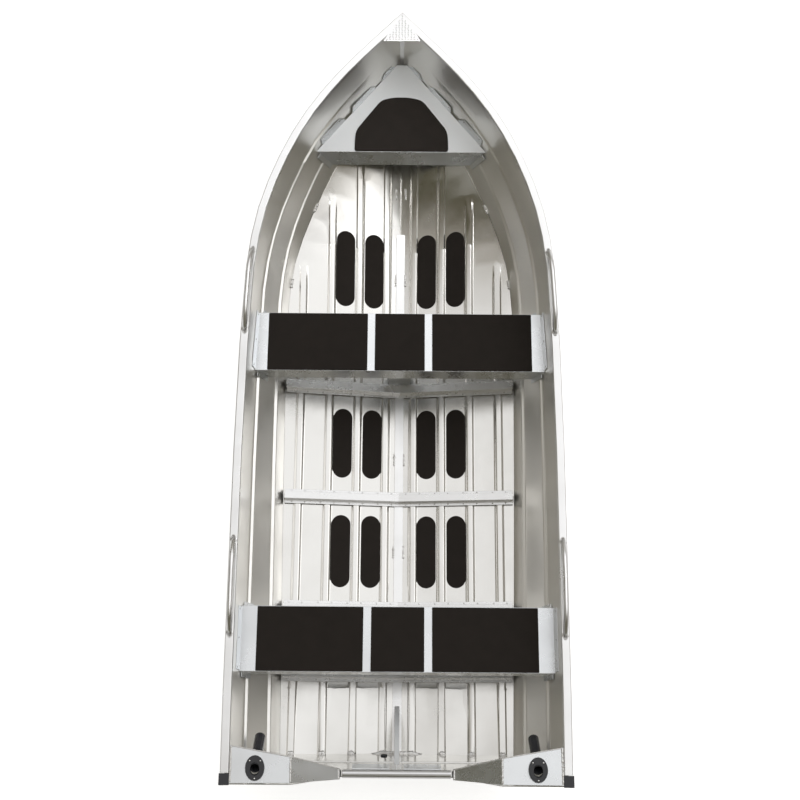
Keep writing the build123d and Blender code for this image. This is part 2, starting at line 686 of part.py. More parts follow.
def floor_pads(name):
    """One row of four flat grip pads with round ends, each laid on the floor between two swages."""
    y0, length = FLOOR_PADS[name]
    radius = FLOOR_PAD_WIDTH / 2
    quarter = [math.pi / 2 * i / FLOOR_PAD_STEPS for i in range(FLOOR_PAD_STEPS + 1)]
    right = [(radius * math.sin(a), y0 + radius * (1 - math.cos(a))) for a in quarter]
    right += [(w, 2 * y0 + length - y) for w, y in reversed(right)]
    plan = right + [(-w, y) for w, y in reversed(right[1:-1])]
    centre = y0 + length / 2
    pads = []
    for x in FLOOR_PAD_PLACES:
        across = (floor_z(x + radius, centre) - floor_z(x - radius, centre)) / (2 * radius)
        ahead = (floor_z(x, y0 + length) - floor_z(x, y0)) / length

        def plane(w, y):
            return floor_z(x, centre) + across * w + ahead * (y - centre)

        lift = max(floor_z(x + w, y) - plane(w, y) for w, y in plan) + FLOOR_PAD_GAP
        face = Face(Wire.make_polygon([Vector(x + w, y, plane(w, y) + lift) for w, y in plan], close=True))
        way = Vector(-across, -ahead, 1.0).normalized() * FLOOR_PAD_THICK
        pads.append(Solid.extrude(face, way))
    return Compound(children=pads + [mirrored(p) for p in pads])


def bow_seat():
    """The triangular plate in the bow with a folded aft edge."""
    y0, y1, top, skirt = BOW_SEAT
    aft, apex = straight_edge(y0, y1, lambda y: inside(y, top - PLATE))
    plate = prism_z([(aft, y0), (apex, y1), (-apex, y1), (-aft, y0)], top - PLATE, top)
    high, low = straight_edge(top - PLATE, top - skirt,
                              lambda z: min(inside(y0, z), inside(y0 + PLATE, z)))
    high = min(high, aft)
    fold = [(high, top - PLATE), (low, top - skirt), (-low, top - skirt), (-high, top - PLATE)]
    pieces = [prism_y(fold, y0, y0 + PLATE)] + skirt_tabs(y0, -1, top - PLATE, top - skirt)
    tall, slope, end = SEAT_TAB
    for first, last in SEAT_TABS:
        a, b = y0 + (y1 - y0) * first, y0 + (y1 - y0) * last
        lean = min(straight_edge(top - PLATE, top + tall, lambda z: inside(y, z))[1]
                   - (aft + (apex - aft) * (y - y0) / (y1 - y0)) for y in (a, (a + b) / 2, b))
        corners = []
        for y, rise in ((a, -PLATE), (a, end), (a + slope, tall), (b - slope, tall), (b, end), (b, -PLATE)):
            edge = aft + (apex - aft) * (y - y0) / (y1 - y0)
            corners.append(Vector(edge + lean * (rise + PLATE) / (tall + PLATE), y, top + rise))
        tab = Solid.extrude(Face(Wire.make_polygon(corners, close=True)), Vector(-PLATE, 0, 0))
        pieces += [tab, mirrored(tab)]
    return plate.fuse(*pieces)


def bow_pad():
    y0, _, top, _ = BOW_SEAT
    half = [(x, y0 + 3 + y) for y, x in BOW_PAD]
    plan = half + [(-x, y) for x, y in reversed(half)]
    return prism_z(plan, top + FIT, top + FIT + PAD_THICK)


def bow_cap():
    """The plate that closes the angle of the two gunwales, laid on their tops."""
    (ya, wa), (yb, wb) = BOW_CAP
    sheer = [(s.ys, s.zs + GUNWALE_TOP) for s in SECTIONS[-4:]]
    za = between(sheer, ya)
    rise = (sheer[-1][1] - za) / (sheer[-1][0] - ya)
    lift = max(z - za - rise * (y - ya) for y, z in sheer if y >= ya) + FIT
    corners = [(-wa, ya), (wa, ya), (wb, yb), (-wb, yb)]
    face = Face(Wire.make_polygon([Vector(x, y, za + rise * (y - ya) + lift) for x, y in corners], close=True))
    return Solid.extrude(face, Vector(0, -rise, 1.0).normalized() * PLATE)


def bow_eye():
    """The towing eye on the stem: a lug with a bore on a base plate."""
    line = profile_line()
    (ya, za), (yb, zb) = line[-2], line[-1]
    length = math.hypot(yb - ya, zb - za)
    ahead = Vector(0, (zb - za) / length, -(yb - ya) / length)
    up = Vector(0, (yb - ya) / length, (zb - za) / length)
    radius, bore, thick, base_length = EYE
    base = Vector(0, ya, za) + up * (length * EYE_PLACE) + ahead * (STEM_BAR[1] + 2 * FIT)
    plate = Plane(origin=base, x_dir=(1, 0, 0), z_dir=ahead).location * Pos(0, 0, PLATE / 2) * Box(
        STEM_BAR[0] - 2, base_length, PLATE)
    centre = base + ahead * (PLATE + bore + 4.0)
    side = Plane(origin=centre - Vector(thick / 2, 0, 0), z_dir=(1, 0, 0), x_dir=ahead)
    lug = prism_on(side, radius, thick, 16)
    neck = side.location * Pos(-bore / 2 - 6.0, 0, thick / 2) * Box(bore + 8.0, radius * 1.9, thick)
    keep = Plane(origin=base, x_dir=(1, 0, 0), z_dir=ahead).location * Pos(0, 0, 50) * Box(60, 120, 100)
    body = lug.fuse(neck.solid()).intersect(keep.solid()).solids()[0]
    return plate.solid().fuse(body).cut(side.location * Pos(0, 0, -5) * Solid.make_cylinder(bore, thick + 10))


def handle(name):
    """A carry handle on the gunwale: an eight-sided tube with sloping ends, welded on two pads."""
    y0, length = HANDLES[name]
    ends = [y0 + d for d, _ in HANDLE_LEG] + [y0 + length / 2] + [y0 + length - d for d, _ in HANDLE_LEG[::-1]]
    rises = [r for _, r in HANDLE_LEG] + [1.0] + [r for _, r in HANDLE_LEG[::-1]]
    radius, thick = HANDLE_PAD
    base = GUNWALE_TOP + FIT
    route = []
    for y, share in zip(ends, rises):
        x, z = sheer(y)
        route.append(Vector(x, y, z + base + thick / 2 + (HANDLE_RISE - base - thick / 2) * share))
    up = Vector(0, 0, 1)
    ways = [(b - a).normalized() for a, b in zip(route, route[1:])]
    side = ways[0].cross(up).normalized()
    lift = side.cross(ways[0]).normalized()
    sides = 8
    ring = [route[0] + (side * math.cos(2 * math.pi * i / sides) + lift * math.sin(2 * math.pi * i / sides))
            * HANDLE_TUBE for i in range(sides)]
    rings = []
    for i, place in enumerate(route):
        before, after = ways[max(i - 1, 0)], ways[min(i, len(ways) - 1)]
        across = up if i in (0, len(route) - 1) else (before + after).normalized()
        ring = [p + before * ((place - p).dot(across) / before.dot(across)) for p in ring]
        rings.append(ring)
    tube = flat_sided(rings)
    pads = []
    for y in (y0, y0 + length):
        x, z = sheer(y)
        slope = sheer(y + 1.0)[1] - z
        place = Plane(origin=Vector(x, y, z + base), z_dir=(0, -slope, 1), x_dir=(1, 0, 0))
        pads.append(prism_on(place, radius, thick))
    return tube.fuse(*pads)


def drain_bung():
    """The drain's screwed plug outside and its collar inside."""
    s = Station(0)
    size = math.hypot(1.0, s.slope)
    aft = Vector(0, -1 / size, s.slope / size)
    outer = Plane(origin=transom_plane(*DRAIN, 2 * FIT + PLATE), z_dir=aft, x_dir=(1, 0, 0))
    inner = Plane(origin=transom_plane(*DRAIN, -2 * FIT - BOARD[1]), z_dir=-aft, x_dir=(1, 0, 0))
    plug = prism_on(outer, DRAIN_FLANGE, 5.0).fuse(prism_on(outer, DRAIN_FLANGE * 0.6, 14.0, 6))
    return Compound(children=[plug, prism_on(inner, DRAIN_FLANGE * 0.8, 6.0)])


def build():
    line = profile_line()
    nodes = {
        "keel_bar": keel_bar(line),
        "stem_bar": stem_bar(line),
        "keel_strip": keel_strip(),
        "transom_plate": transom_solid(transom_outline(), FIT, FIT + PLATE),
        "transom_board": transom_board(),
        "transom_cap": transom_cap(),
        "transom_knee": transom_knee(),
        "motor_pad": motor_pad(),
        "clamp_pads": clamp_pads(),
        "drain_bung": drain_bung(),
        "bow_seat": bow_seat(),
        "bow_seat_pad": bow_pad(),
        "bow_cap": bow_cap(),
        "bow_eye": bow_eye(),
    }
    pairs = {
        "hull_side": hull_side(),
        "hull_bottom": hull_bottom(),
        "chine_rail": chine_rail(),
        "gunwale": gunwale(),
        "corner_knee": corner_knee(),
        "rod_holder": rod_holder(),
        "corner_cap": corner_cap(),
    }
    pairs.update({f"{name}_handle": handle(name) for name in HANDLES})
    for name, shape in pairs.items():
        nodes[f"{name}_starboard"] = shape
        nodes[f"{name}_port"] = mirrored(shape)
    for name in BENCHES:
        nodes[f"{name}_bench"] = bench(name)
        nodes[f"{name}_bench_pads"] = bench_pads(name)
        nodes[f"{name}_bench_pillar"] = bench_pillar(name)
    for number, y in RIBS.items():
        nodes[f"floor_rib_{number}"] = rib(y)
    for name in FLOOR_PADS:
        nodes[f"{name}_floor_pads"] = floor_pads(name)
    return nodes


def main():
    os.makedirs("parts", exist_ok=True)
    back = Location((0, -LENGTH / 2, 0))
    for name, shape in build().items():
        solids = shape.solids() if hasattr(shape, "solids") else shape
        moved = [s.moved(back) for s in solids]
        export_step(moved[0] if len(moved) == 1 else Compound(children=moved), f"parts/{name}.step")


main()
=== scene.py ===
"""Aluminium dinghy: materials, grip pads, rivets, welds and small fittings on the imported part.

The row frame is used throughout: metres, +Z up, +Y towards the bow, +X to starboard.
Small pieces are seated by rays cast onto the CAD nodes, so they follow the part if it changes.
"""

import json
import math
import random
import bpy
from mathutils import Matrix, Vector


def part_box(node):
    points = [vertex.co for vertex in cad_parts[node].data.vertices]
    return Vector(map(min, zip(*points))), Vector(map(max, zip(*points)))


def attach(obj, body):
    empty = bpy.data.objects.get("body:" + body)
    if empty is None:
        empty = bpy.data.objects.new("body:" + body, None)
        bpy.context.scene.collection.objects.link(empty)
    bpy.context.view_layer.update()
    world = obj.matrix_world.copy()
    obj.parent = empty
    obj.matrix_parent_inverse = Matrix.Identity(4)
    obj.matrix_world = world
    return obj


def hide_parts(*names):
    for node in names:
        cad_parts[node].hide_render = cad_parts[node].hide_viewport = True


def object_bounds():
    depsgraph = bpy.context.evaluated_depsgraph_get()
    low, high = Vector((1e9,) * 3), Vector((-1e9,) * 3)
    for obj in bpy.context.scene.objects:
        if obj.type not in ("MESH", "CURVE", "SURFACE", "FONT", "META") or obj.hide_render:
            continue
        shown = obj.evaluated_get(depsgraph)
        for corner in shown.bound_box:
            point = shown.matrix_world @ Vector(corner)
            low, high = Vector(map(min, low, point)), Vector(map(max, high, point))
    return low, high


bl_info = {
    "name": "Aluminium dinghy",
    "version": (1, 0, 0),
    "blender": (4, 5, 0),
    "location": "View3D > Sidebar > Dinghy",
    "description": "Looks for the packed aluminium dinghy",
    "category": "Object",
}

import bmesh
import bpy
from mathutils import Quaternion, Vector
from mathutils.bvhtree import BVHTree
from mathutils.kdtree import KDTree

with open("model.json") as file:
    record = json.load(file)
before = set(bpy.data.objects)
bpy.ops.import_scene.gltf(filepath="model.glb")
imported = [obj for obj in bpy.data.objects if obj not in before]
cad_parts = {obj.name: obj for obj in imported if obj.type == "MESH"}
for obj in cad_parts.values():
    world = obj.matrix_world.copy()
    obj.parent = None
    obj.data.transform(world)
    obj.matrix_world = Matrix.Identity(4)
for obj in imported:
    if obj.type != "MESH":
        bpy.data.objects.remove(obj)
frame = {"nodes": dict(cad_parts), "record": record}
NODES = frame["nodes"]
CAD_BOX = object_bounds()

SIDES = ("port", "starboard")
WAYS = (-1, 1)                # of the sides along X
BENCHES = ("front", "aft")
PAD_ROWS = ("aft", "middle", "front")
RIBS = ("floor_rib_1", "floor_rib_2", "floor_rib_3", "floor_rib_4")
SHEETS = ("hull_bottom_port", "hull_bottom_starboard")
PLATES = ("bench", "bow_seat", "bow_cap", "transom", "pillar", "corner_knee", "floor_rib", "_pad", "clamp")
PAINTED_LIGHT_TOPS = {   # painted light: a lighter copy of the plate on a node's upper faces, and the least Z of their normals
    "bow_seat": ("seat_top", 0.8),
    "front_bench": ("plate_top", 0.8),
    "transom_knee": ("seat_top", 0.3),
}
MERGE = 0.00002               # points nearer than this are one
SHARP = math.radians(25)
FOLD_ANGLES = (math.radians(12), math.radians(75))
FOLDS = {"hull_sheet": 0.0016, "extrusion": 0.0015, "rail_dark": 0.0016, "fitting_plate": 0.0012}
DOWN = Vector((0, 0, -1))
ABOVE = 0.9                   # height that rays go down from


class MetalSettings(bpy.types.PropertyGroup):
    """Colours and finish of the metal."""

    sheet: bpy.props.FloatVectorProperty(
        name="Sheet", description="Pressed hull sheet", subtype="COLOR", size=3,
        default=(0.81, 0.80, 0.775))
    bright: bpy.props.FloatVectorProperty(
        name="Extrusion", description="Gunwales and rails", subtype="COLOR", size=3,
        default=(0.93, 0.93, 0.93))
    plate: bpy.props.FloatVectorProperty(
        name="Plate", description="Benches, knees and ribs", subtype="COLOR", size=3,
        default=(0.84, 0.86, 0.88))
    rail: bpy.props.FloatVectorProperty(
        name="Transom rail", description="Rail over the motor section", subtype="COLOR", size=3,
        default=(0.78, 0.78, 0.79))
    roughness: bpy.props.FloatProperty(
        name="Roughness", description="Of the hull sheet", default=0.20, min=0.05, max=1.0)
    fold: bpy.props.FloatProperty(
        name="Fold", description="Rounding of the pressed folds", default=0.005, unit="LENGTH",
        subtype="DISTANCE")


class PadSettings(bpy.types.PropertyGroup):
    """Grip pads."""

    colour: bpy.props.FloatVectorProperty(
        name="Colour", description="Closed-cell foam", subtype="COLOR", size=3,
        default=(0.0255, 0.0205, 0.0175))
    floor_height: bpy.props.FloatProperty(
        name="Floor pad height", description="Above the floor", default=0.0045, unit="LENGTH",
        subtype="DISTANCE")
    edge: bpy.props.FloatProperty(
        name="Edge", description="Rounding of a pad's edge", default=0.0015, unit="LENGTH",
        subtype="DISTANCE")


class FittingSettings(bpy.types.PropertyGroup):
    """Rivets, welds and small parts."""

    rivet: bpy.props.FloatProperty(
        name="Rivet radius", description="Of a dome head", default=0.0048, unit="LENGTH", subtype="DISTANCE")
    rivet_height: bpy.props.FloatProperty(
        name="Rivet height", description="Of a dome head", default=0.0018, unit="LENGTH", subtype="DISTANCE")
    weld: bpy.props.FloatProperty(
        name="Weld radius", description="Of a weld bead", default=0.0028, unit="LENGTH", subtype="DISTANCE")
    plastic: bpy.props.FloatVectorProperty(
        name="Plastic", description="Rod holders and caps", subtype="COLOR", size=3,
        default=(0.035, 0.036, 0.042))


class StageSettings(bpy.types.PropertyGroup):
    """Floor, light and camera."""

    floor: bpy.props.FloatVectorProperty(
        name="Floor", description="Plain pale floor", subtype="COLOR", size=3, default=(0.86, 0.86, 0.86))
    backdrop: bpy.props.FloatProperty(
        name="Backdrop", description="Added brightness of the floor as the camera sees it", default=0.75,
        min=0.0, max=2.0)
    mirrored: bpy.props.FloatProperty(
        name="Mirrored", description="Added brightness of the floor as metal sees it", default=0.15,
        min=0.0, max=2.0)
    key: bpy.props.FloatProperty(
        name="Key light", description="Power of the main light", default=50.0, unit="POWER")
    sky: bpy.props.FloatProperty(
        name="Sky", description="Brightness of the surroundings", default=1.08, min=0.0, max=5.0)
    height: bpy.props.FloatProperty(
        name="Camera height", description="Above the floor", default=6.54, unit="LENGTH", subtype="DISTANCE")
    aft: bpy.props.FloatProperty(
        name="Camera aft", description="Behind the boat's middle", default=1.9885, unit="LENGTH",
        subtype="DISTANCE")
    tilt: bpy.props.FloatProperty(
        name="Tilt", description="From straight down, towards the bow", default=math.radians(17.5),
        unit="ROTATION", subtype="ANGLE")
    roll: bpy.props.FloatProperty(
        name="Roll", description="About the line of sight", default=math.radians(0.45), unit="ROTATION",
        subtype="ANGLE")
    lens: bpy.props.FloatProperty(name="Lens", description="Focal length in millimetres", default=59.985)


# Shader node groups. Each gives values only; the shaders stay in the materials.

def new_group(name, inputs, outputs):
    group = bpy.data.node_groups.new(name, "ShaderNodeTree")
    for label, kind, default in inputs:
        socket = group.interface.new_socket(label, in_out="INPUT", socket_type=kind)
        if default is not None:
            socket.default_value = default
    for label, kind in outputs:
        group.interface.new_socket(label, in_out="OUTPUT", socket_type=kind)
    return group, group.nodes.new("NodeGroupInput"), group.nodes.new("NodeGroupOutput")


def grain_group():
    """Rolling marks of the sheet: noise drawn out along the boat."""
    group, given, out = new_group(
        "rolled_grain",
        [("Place", "NodeSocketVector", None), ("Stretch", "NodeSocketFloat", 40.0)],
        [("Height", "NodeSocketFloat")])
    links = group.links
    scale = group.nodes.new("ShaderNodeCombineXYZ")
    scale.inputs["Y"].default_value = 1.0
    links.new(given.outputs["Stretch"], scale.inputs["X"])
    links.new(given.outputs["Stretch"], scale.inputs["Z"])
    drawn = group.nodes.new("ShaderNodeVectorMath")
    drawn.operation = "MULTIPLY"
    links.new(given.outputs["Place"], drawn.inputs[0])
    links.new(scale.outputs[0], drawn.inputs[1])
    noise = group.nodes.new("ShaderNodeTexNoise")
    noise.inputs["Scale"].default_value = 6.0
    noise.inputs["Detail"].default_value = 4.0
    links.new(drawn.outputs[0], noise.inputs["Vector"])
    links.new(noise.outputs["Fac"], out.inputs["Height"])
    return group


def cloud_group():
    """Handling marks and slow waves in the sheet."""
    group, given, out = new_group(
        "clouds",
        [("Place", "NodeSocketVector", None), ("Scale", "NodeSocketFloat", 5.0)],
        [("Mask", "NodeSocketFloat"), ("Wave", "NodeSocketFloat")])
    links = group.links
    noise = group.nodes.new("ShaderNodeTexNoise")
    noise.inputs["Detail"].default_value = 5.0
    noise.inputs["Roughness"].default_value = 0.62
    links.new(given.outputs["Place"], noise.inputs["Vector"])
    links.new(given.outputs["Scale"], noise.inputs["Scale"])
    ramp = group.nodes.new("ShaderNodeMapRange")
    ramp.inputs["From Min"].default_value = 0.35
    ramp.inputs["From Max"].default_value = 0.70
    links.new(noise.outputs["Fac"], ramp.inputs["Value"])
    links.new(ramp.outputs[0], out.inputs["Mask"])
    wave = group.nodes.new("ShaderNodeTexNoise")
    wave.inputs["Scale"].default_value = 2.2
    wave.inputs["Detail"].default_value = 1.0
    links.new(given.outputs["Place"], wave.inputs["Vector"])
    links.new(wave.outputs["Fac"], out.inputs["Wave"])
    return group


def foam_group():
    """Fine cells of the foam."""
    group, given, out = new_group(
        "foam_cells",
        [("Place", "NodeSocketVector", None)],
        [("Height", "NodeSocketFloat"), ("Tone", "NodeSocketFloat")])
    links = group.links
    cells = group.nodes.new("ShaderNodeTexNoise")
    cells.inputs["Scale"].default_value = 900.0
    cells.inputs["Detail"].default_value = 2.0
    links.new(given.outputs["Place"], cells.inputs["Vector"])
    links.new(cells.outputs["Fac"], out.inputs["Height"])
    tone = group.nodes.new("ShaderNodeTexNoise")
    tone.inputs["Scale"].default_value = 14.0
    tone.inputs["Detail"].default_value = 3.0
    links.new(given.outputs["Place"], tone.inputs["Vector"])
    links.new(tone.outputs["Fac"], out.inputs["Tone"])
    return group


def shared(name, maker):
    return bpy.data.node_groups.get(name) or maker()


def start_material(name, colour, roughness, metallic):
    material = bpy.data.materials.new(name)
    material.use_nodes = True
    tree = material.node_tree
    shader = tree.nodes["Principled BSDF"]
    shader.inputs["Base Color"].default_value = (*colour, 1.0)
    shader.inputs["Roughness"].default_value = roughness
    shader.inputs["Metallic"].default_value = metallic
    place = tree.nodes.new("ShaderNodeTexCoord")
    return material, tree, shader, place


def add_group(tree, name, maker, place):
    node = tree.nodes.new("ShaderNodeGroup")
    node.node_tree = shared(name, maker)
    tree.links.new(place.outputs["Object"], node.inputs["Place"])
    return node


def add_bump(tree, shader, height, strength, distance, before=None):
    bump = tree.nodes.new("ShaderNodeBump")
    bump.inputs["Strength"].default_value = strength
    bump.inputs["Distance"].default_value = distance
    tree.links.new(height, bump.inputs["Height"])
    if before is not None:
        tree.links.new(before.outputs["Normal"], bump.inputs["Normal"])
    tree.links.new(bump.outputs["Normal"], shader.inputs["Normal"])
    return bump


def mapped(tree, value, low, high):
    node = tree.nodes.new("ShaderNodeMapRange")
    node.inputs["To Min"].default_value = low
    node.inputs["To Max"].default_value = high
    tree.links.new(value, node.inputs["Value"])
    return node.outputs[0]


def metal(name, colour, roughness, spread=0.08, grain=0.03, wave=0.0008, metallic=1.0, stretch=40.0):
    """Rolled aluminium: fine grain along the boat, cloudy roughness and slow waves."""
    material, tree, shader, place = start_material(name, colour, roughness, metallic)
    clouds = add_group(tree, "clouds", cloud_group, place)
    rolled = add_group(tree, "rolled_grain", grain_group, place)
    rolled.inputs["Stretch"].default_value = stretch
    tree.links.new(mapped(tree, clouds.outputs["Mask"], roughness - spread / 2, roughness + spread),
                   shader.inputs["Roughness"])
    slow = add_bump(tree, shader, clouds.outputs["Wave"], 1.0, wave)
    add_bump(tree, shader, rolled.outputs["Height"], grain, 0.0006, slow)
    return material


def plastic(name, colour, roughness):
    material, tree, shader, place = start_material(name, colour, roughness, 0.0)
    foam = add_group(tree, "foam_cells", foam_group, place)
    add_bump(tree, shader, foam.outputs["Height"], 0.10, 0.0003)
    return material


def foam(name, colour):
    material, tree, shader, place = start_material(name, colour, 0.82, 0.0)
    shader.inputs["Specular IOR Level"].default_value = 0.25
    cells = add_group(tree, "foam_cells", foam_group, place)
    mix = tree.nodes.new("ShaderNodeMix")
    mix.data_type = "RGBA"
    mix.inputs["A"].default_value = (*[c * 0.85 for c in colour], 1.0)
    mix.inputs["B"].default_value = (*[c * 1.2 for c in colour], 1.0)
    tree.links.new(cells.outputs["Tone"], mix.inputs["Factor"])
    tree.links.new(mix.outputs["Result"], shader.inputs["Base Color"])
    add_bump(tree, shader, cells.outputs["Height"], 0.35, 0.0006)
    return material


MATERIALS = {}


def make_materials(scene):
    m = scene.dinghy_metal
    f = scene.dinghy_fitting
    MATERIALS.update(
        hull_sheet=metal("hull_sheet", m.sheet, m.roughness),
        # Side walls: the hull sheet made brighter, which is painted light on the walls, and rougher
        hull_side=metal("hull_side", [c * 1.15 for c in m.sheet], m.roughness * 1.6, metallic=0.86),
        # Lighter copies of the plate for the upper faces of the bow seat, the transom knee and the front
        # bench: painted light from above
        seat_top=metal("seat_top", [c * 1.1 for c in m.plate], 0.40, wave=0.0003, metallic=0.05),
        plate_top=metal("plate_top", [c * 1.1 for c in m.plate], 0.26, wave=0.0003, metallic=0.88),
        # Ribs: the plate in the bright extrusion colour and less metallic, painted light on ribs that lie in
        # the benches' shadow
        rib_plate=metal("rib_plate", m.bright, 0.26, wave=0.0002, metallic=0.75),
        extrusion=metal("extrusion", m.bright, 0.30, spread=0.08, wave=0.0002),
        fitting_plate=metal("fitting_plate", m.plate, 0.28, wave=0.0003, metallic=0.85),
        rail_dark=metal("rail_dark", m.rail, 0.34, spread=0.08, wave=0.0002),
        weld=metal("weld", (0.95, 0.94, 0.93), 0.30, spread=0.2, wave=0.0, metallic=0.6, stretch=1.0),
        steel=metal("steel", (0.80, 0.80, 0.80), 0.22, spread=0.05, wave=0.0, stretch=1.0),
        grip_pad=foam("grip_pad", scene.dinghy_pad.colour),
        cap_plastic=plastic("cap_plastic", [c * 1.6 for c in f.plastic], 0.55),
        rod_plastic=plastic("rod_plastic", f.plastic, 0.26),
    )


def slot_of(node):
    for row in frame["record"]["subparts"]:
        if row["node"] == node:
            return row["material_slot"]
    raise RuntimeError(f"{node} has no slot in the record")


# Shapes

def mesh_piece(name, points, faces, material, smooth=True):
    mesh = bpy.data.meshes.new(name)
    mesh.from_pydata([tuple(p) for p in points], [], faces)
    mesh.validate()
    if smooth:
        mesh.polygons.foreach_set("use_smooth", [True] * len(mesh.polygons))
    mesh.materials.append(MATERIALS[material])
    obj = bpy.data.objects.new(name, mesh)
    bpy.context.scene.collection.objects.link(obj)
    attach(obj, "root")
    return obj


class Heap:
    """Points and faces that end up in one piece."""

    def __init__(self):
        self.points, self.faces = [], []

    def add(self, points, faces):
        start = len(self.points)
        self.points += points
        self.faces += [tuple(i + start for i in f) for f in faces]

    def rows(self, rows):
        """A closed skin over rings of equal count, with both ends shut."""
        n = len(rows[0])
        faces = []
        for r in range(len(rows) - 1):
            for i in range(n):
                j = (i + 1) % n
                faces.append((r * n + i, r * n + j, (r + 1) * n + j, (r + 1) * n + i))
        faces.append(tuple(range(n))[::-1])
        faces.append(tuple((len(rows) - 1) * n + i for i in range(n)))
        self.add([p for row in rows for p in row], faces)

    def piece(self, name, material, smooth=True):
        return mesh_piece(name, self.points, self.faces, material, smooth)


def tree_of(*names):
    """The faces of CAD nodes, for rays."""
    points, faces = [], []
    for name in names:
        mesh = NODES[name].data
        start = len(points)
        points += [v.co.copy() for v in mesh.vertices]
        faces += [tuple(i + start for i in p.vertices) for p in mesh.polygons]
    return BVHTree.FromPolygons(points, faces)


def cast(tree, origin, way):
    place, normal, _, _ = tree.ray_cast(Vector(origin), Vector(way))
    if place is None:
        raise RuntimeError(f"no surface from {tuple(origin)} along {tuple(way)}")
    if normal.dot(Vector(way)) > 0:
        normal = -normal
    return place, normal


def drop(tree, x, y):
    """Where a ray from above meets the faces, and their normal."""
    return cast(tree, (x, y, ABOVE), DOWN)


def under(tree, x, y):
    """The same place, or None where there is no face."""
    return tree.ray_cast(Vector((x, y, ABOVE)), DOWN)[0]


def ring(count):
    """Angles round a circle."""
    return [2 * math.pi * i / count for i in range(count)]


def across(normal, hint=(0, 1, 0)):
    """Two directions square to a normal."""
    u = Vector(hint).cross(normal)
    if u.length < 1e-3:
        u = Vector((1, 0, 0)).cross(normal)
    u.normalize()
    return u, normal.cross(u).normalized()


def dome(heap, place, normal, radius, height, sides=10):
    """A rivet head or a screw's dome."""
    u, v = across(normal)
    rows = []
    for share, up in ((1.0, -0.15), (1.0, 0.25), (0.72, 0.75), (0.30, 1.0)):
        rows.append([place + (u * math.cos(a) + v * math.sin(a)) * radius * share + normal * height * up
                     for a in ring(sides)])
    heap.rows(rows)


def middle_at(mesh, y):
    """Middle of a mesh's section at y."""
    cuts = []
    for edge in mesh.edges:
        a, b = (mesh.vertices[i].co for i in edge.vertices)
        if (a.y - y) * (b.y - y) < 0:
            cuts.append(a.lerp(b, (y - a.y) / (b.y - a.y)))
    return Vector([(min(c[k] for c in cuts) + max(c[k] for c in cuts)) / 2 for k in range(3)])


def tube(heap, line, radius, sides=10, rough=0.0, flat=1.0, seats=()):
    """A round bar along points, or a weld bead when it is rough. Its end rings are returned.

    Seats are the normals of the faces that its two ends are cut level with.
    """
    rows = []
    side = None
    for i, p in enumerate(line):
        way = (line[min(i + 1, len(line) - 1)] - line[max(i - 1, 0)]).normalized()
        side = across(way, (0, 0, 1))[0] if side is None else (side - way * side.dot(way)).normalized()
        up = way.cross(side)
        r = radius * (1 + rough * (random.random() - 0.5))
        rows.append([p + side * r * math.cos(a) + up * r * flat * math.sin(a) for a in ring(sides)])
    for row, foot, beyond, normal in zip((0, -1), (line[0], line[-1]), (line[1], line[-2]), seats):
        way = (beyond - foot).normalized()
        rows[row] = [p - way * ((p - foot).dot(normal) / way.dot(normal)) for p in rows[row]]
    heap.rows(rows)
    return rows[0], rows[-1]


def stepped(points, step):
    """The line through points, cut into short steps."""
    line = [points[0]]
    for a, b in zip(points, points[1:]):
        count = max(1, round((b - a).length / step))
        line += [a.lerp(b, (i + 1) / count) for i in range(count)]
    return line


def shrunk(outline, distance):
    """A closed outline, anticlockwise, moved inward."""
    moved = []
    n = len(outline)
    for i in range(n):
        a, b, c = (Vector(outline[(i + k) % n]).to_2d() for k in (-1, 0, 1))
        d1, d2 = (b - a).normalized(), (c - b).normalized()
        n1, n2 = Vector((-d1.y, d1.x)), Vector((-d2.y, d2.x))
        moved.append(b + (n1 + n2) * (distance / max(0.3, 1 + n1.dot(n2))))
    return moved


def slab(heap, outline, z0, z1, edge):
    """A flat pad with a softly rounded upper edge, anticlockwise outline."""
    rows = []
    for inset, z in ((0.0, z0), (0.0, z1 - edge), (edge * 0.3, z1 - edge * 0.3), (edge, z1)):
        rows.append([Vector((p[0], p[1], z)) for p in (shrunk(outline, inset) if inset else outline)])
    heap.rows(rows)


def rounded(outline, radius, steps=4):
    """The outline with its corners rounded."""
    made = []
    n = len(outline)
    for i in range(n):
        a, b, c = (Vector(outline[(i + k) % n]) for k in (-1, 0, 1))
        r = min(radius, (a - b).length * 0.45, (c - b).length * 0.45)
        p, q = b + (a - b).normalized() * r, b + (c - b).normalized() * r
        for k in range(steps + 1):
            t = k / steps
            made.append(p * (1 - t) ** 2 + b * 2 * t * (1 - t) + q * t * t)
    return made


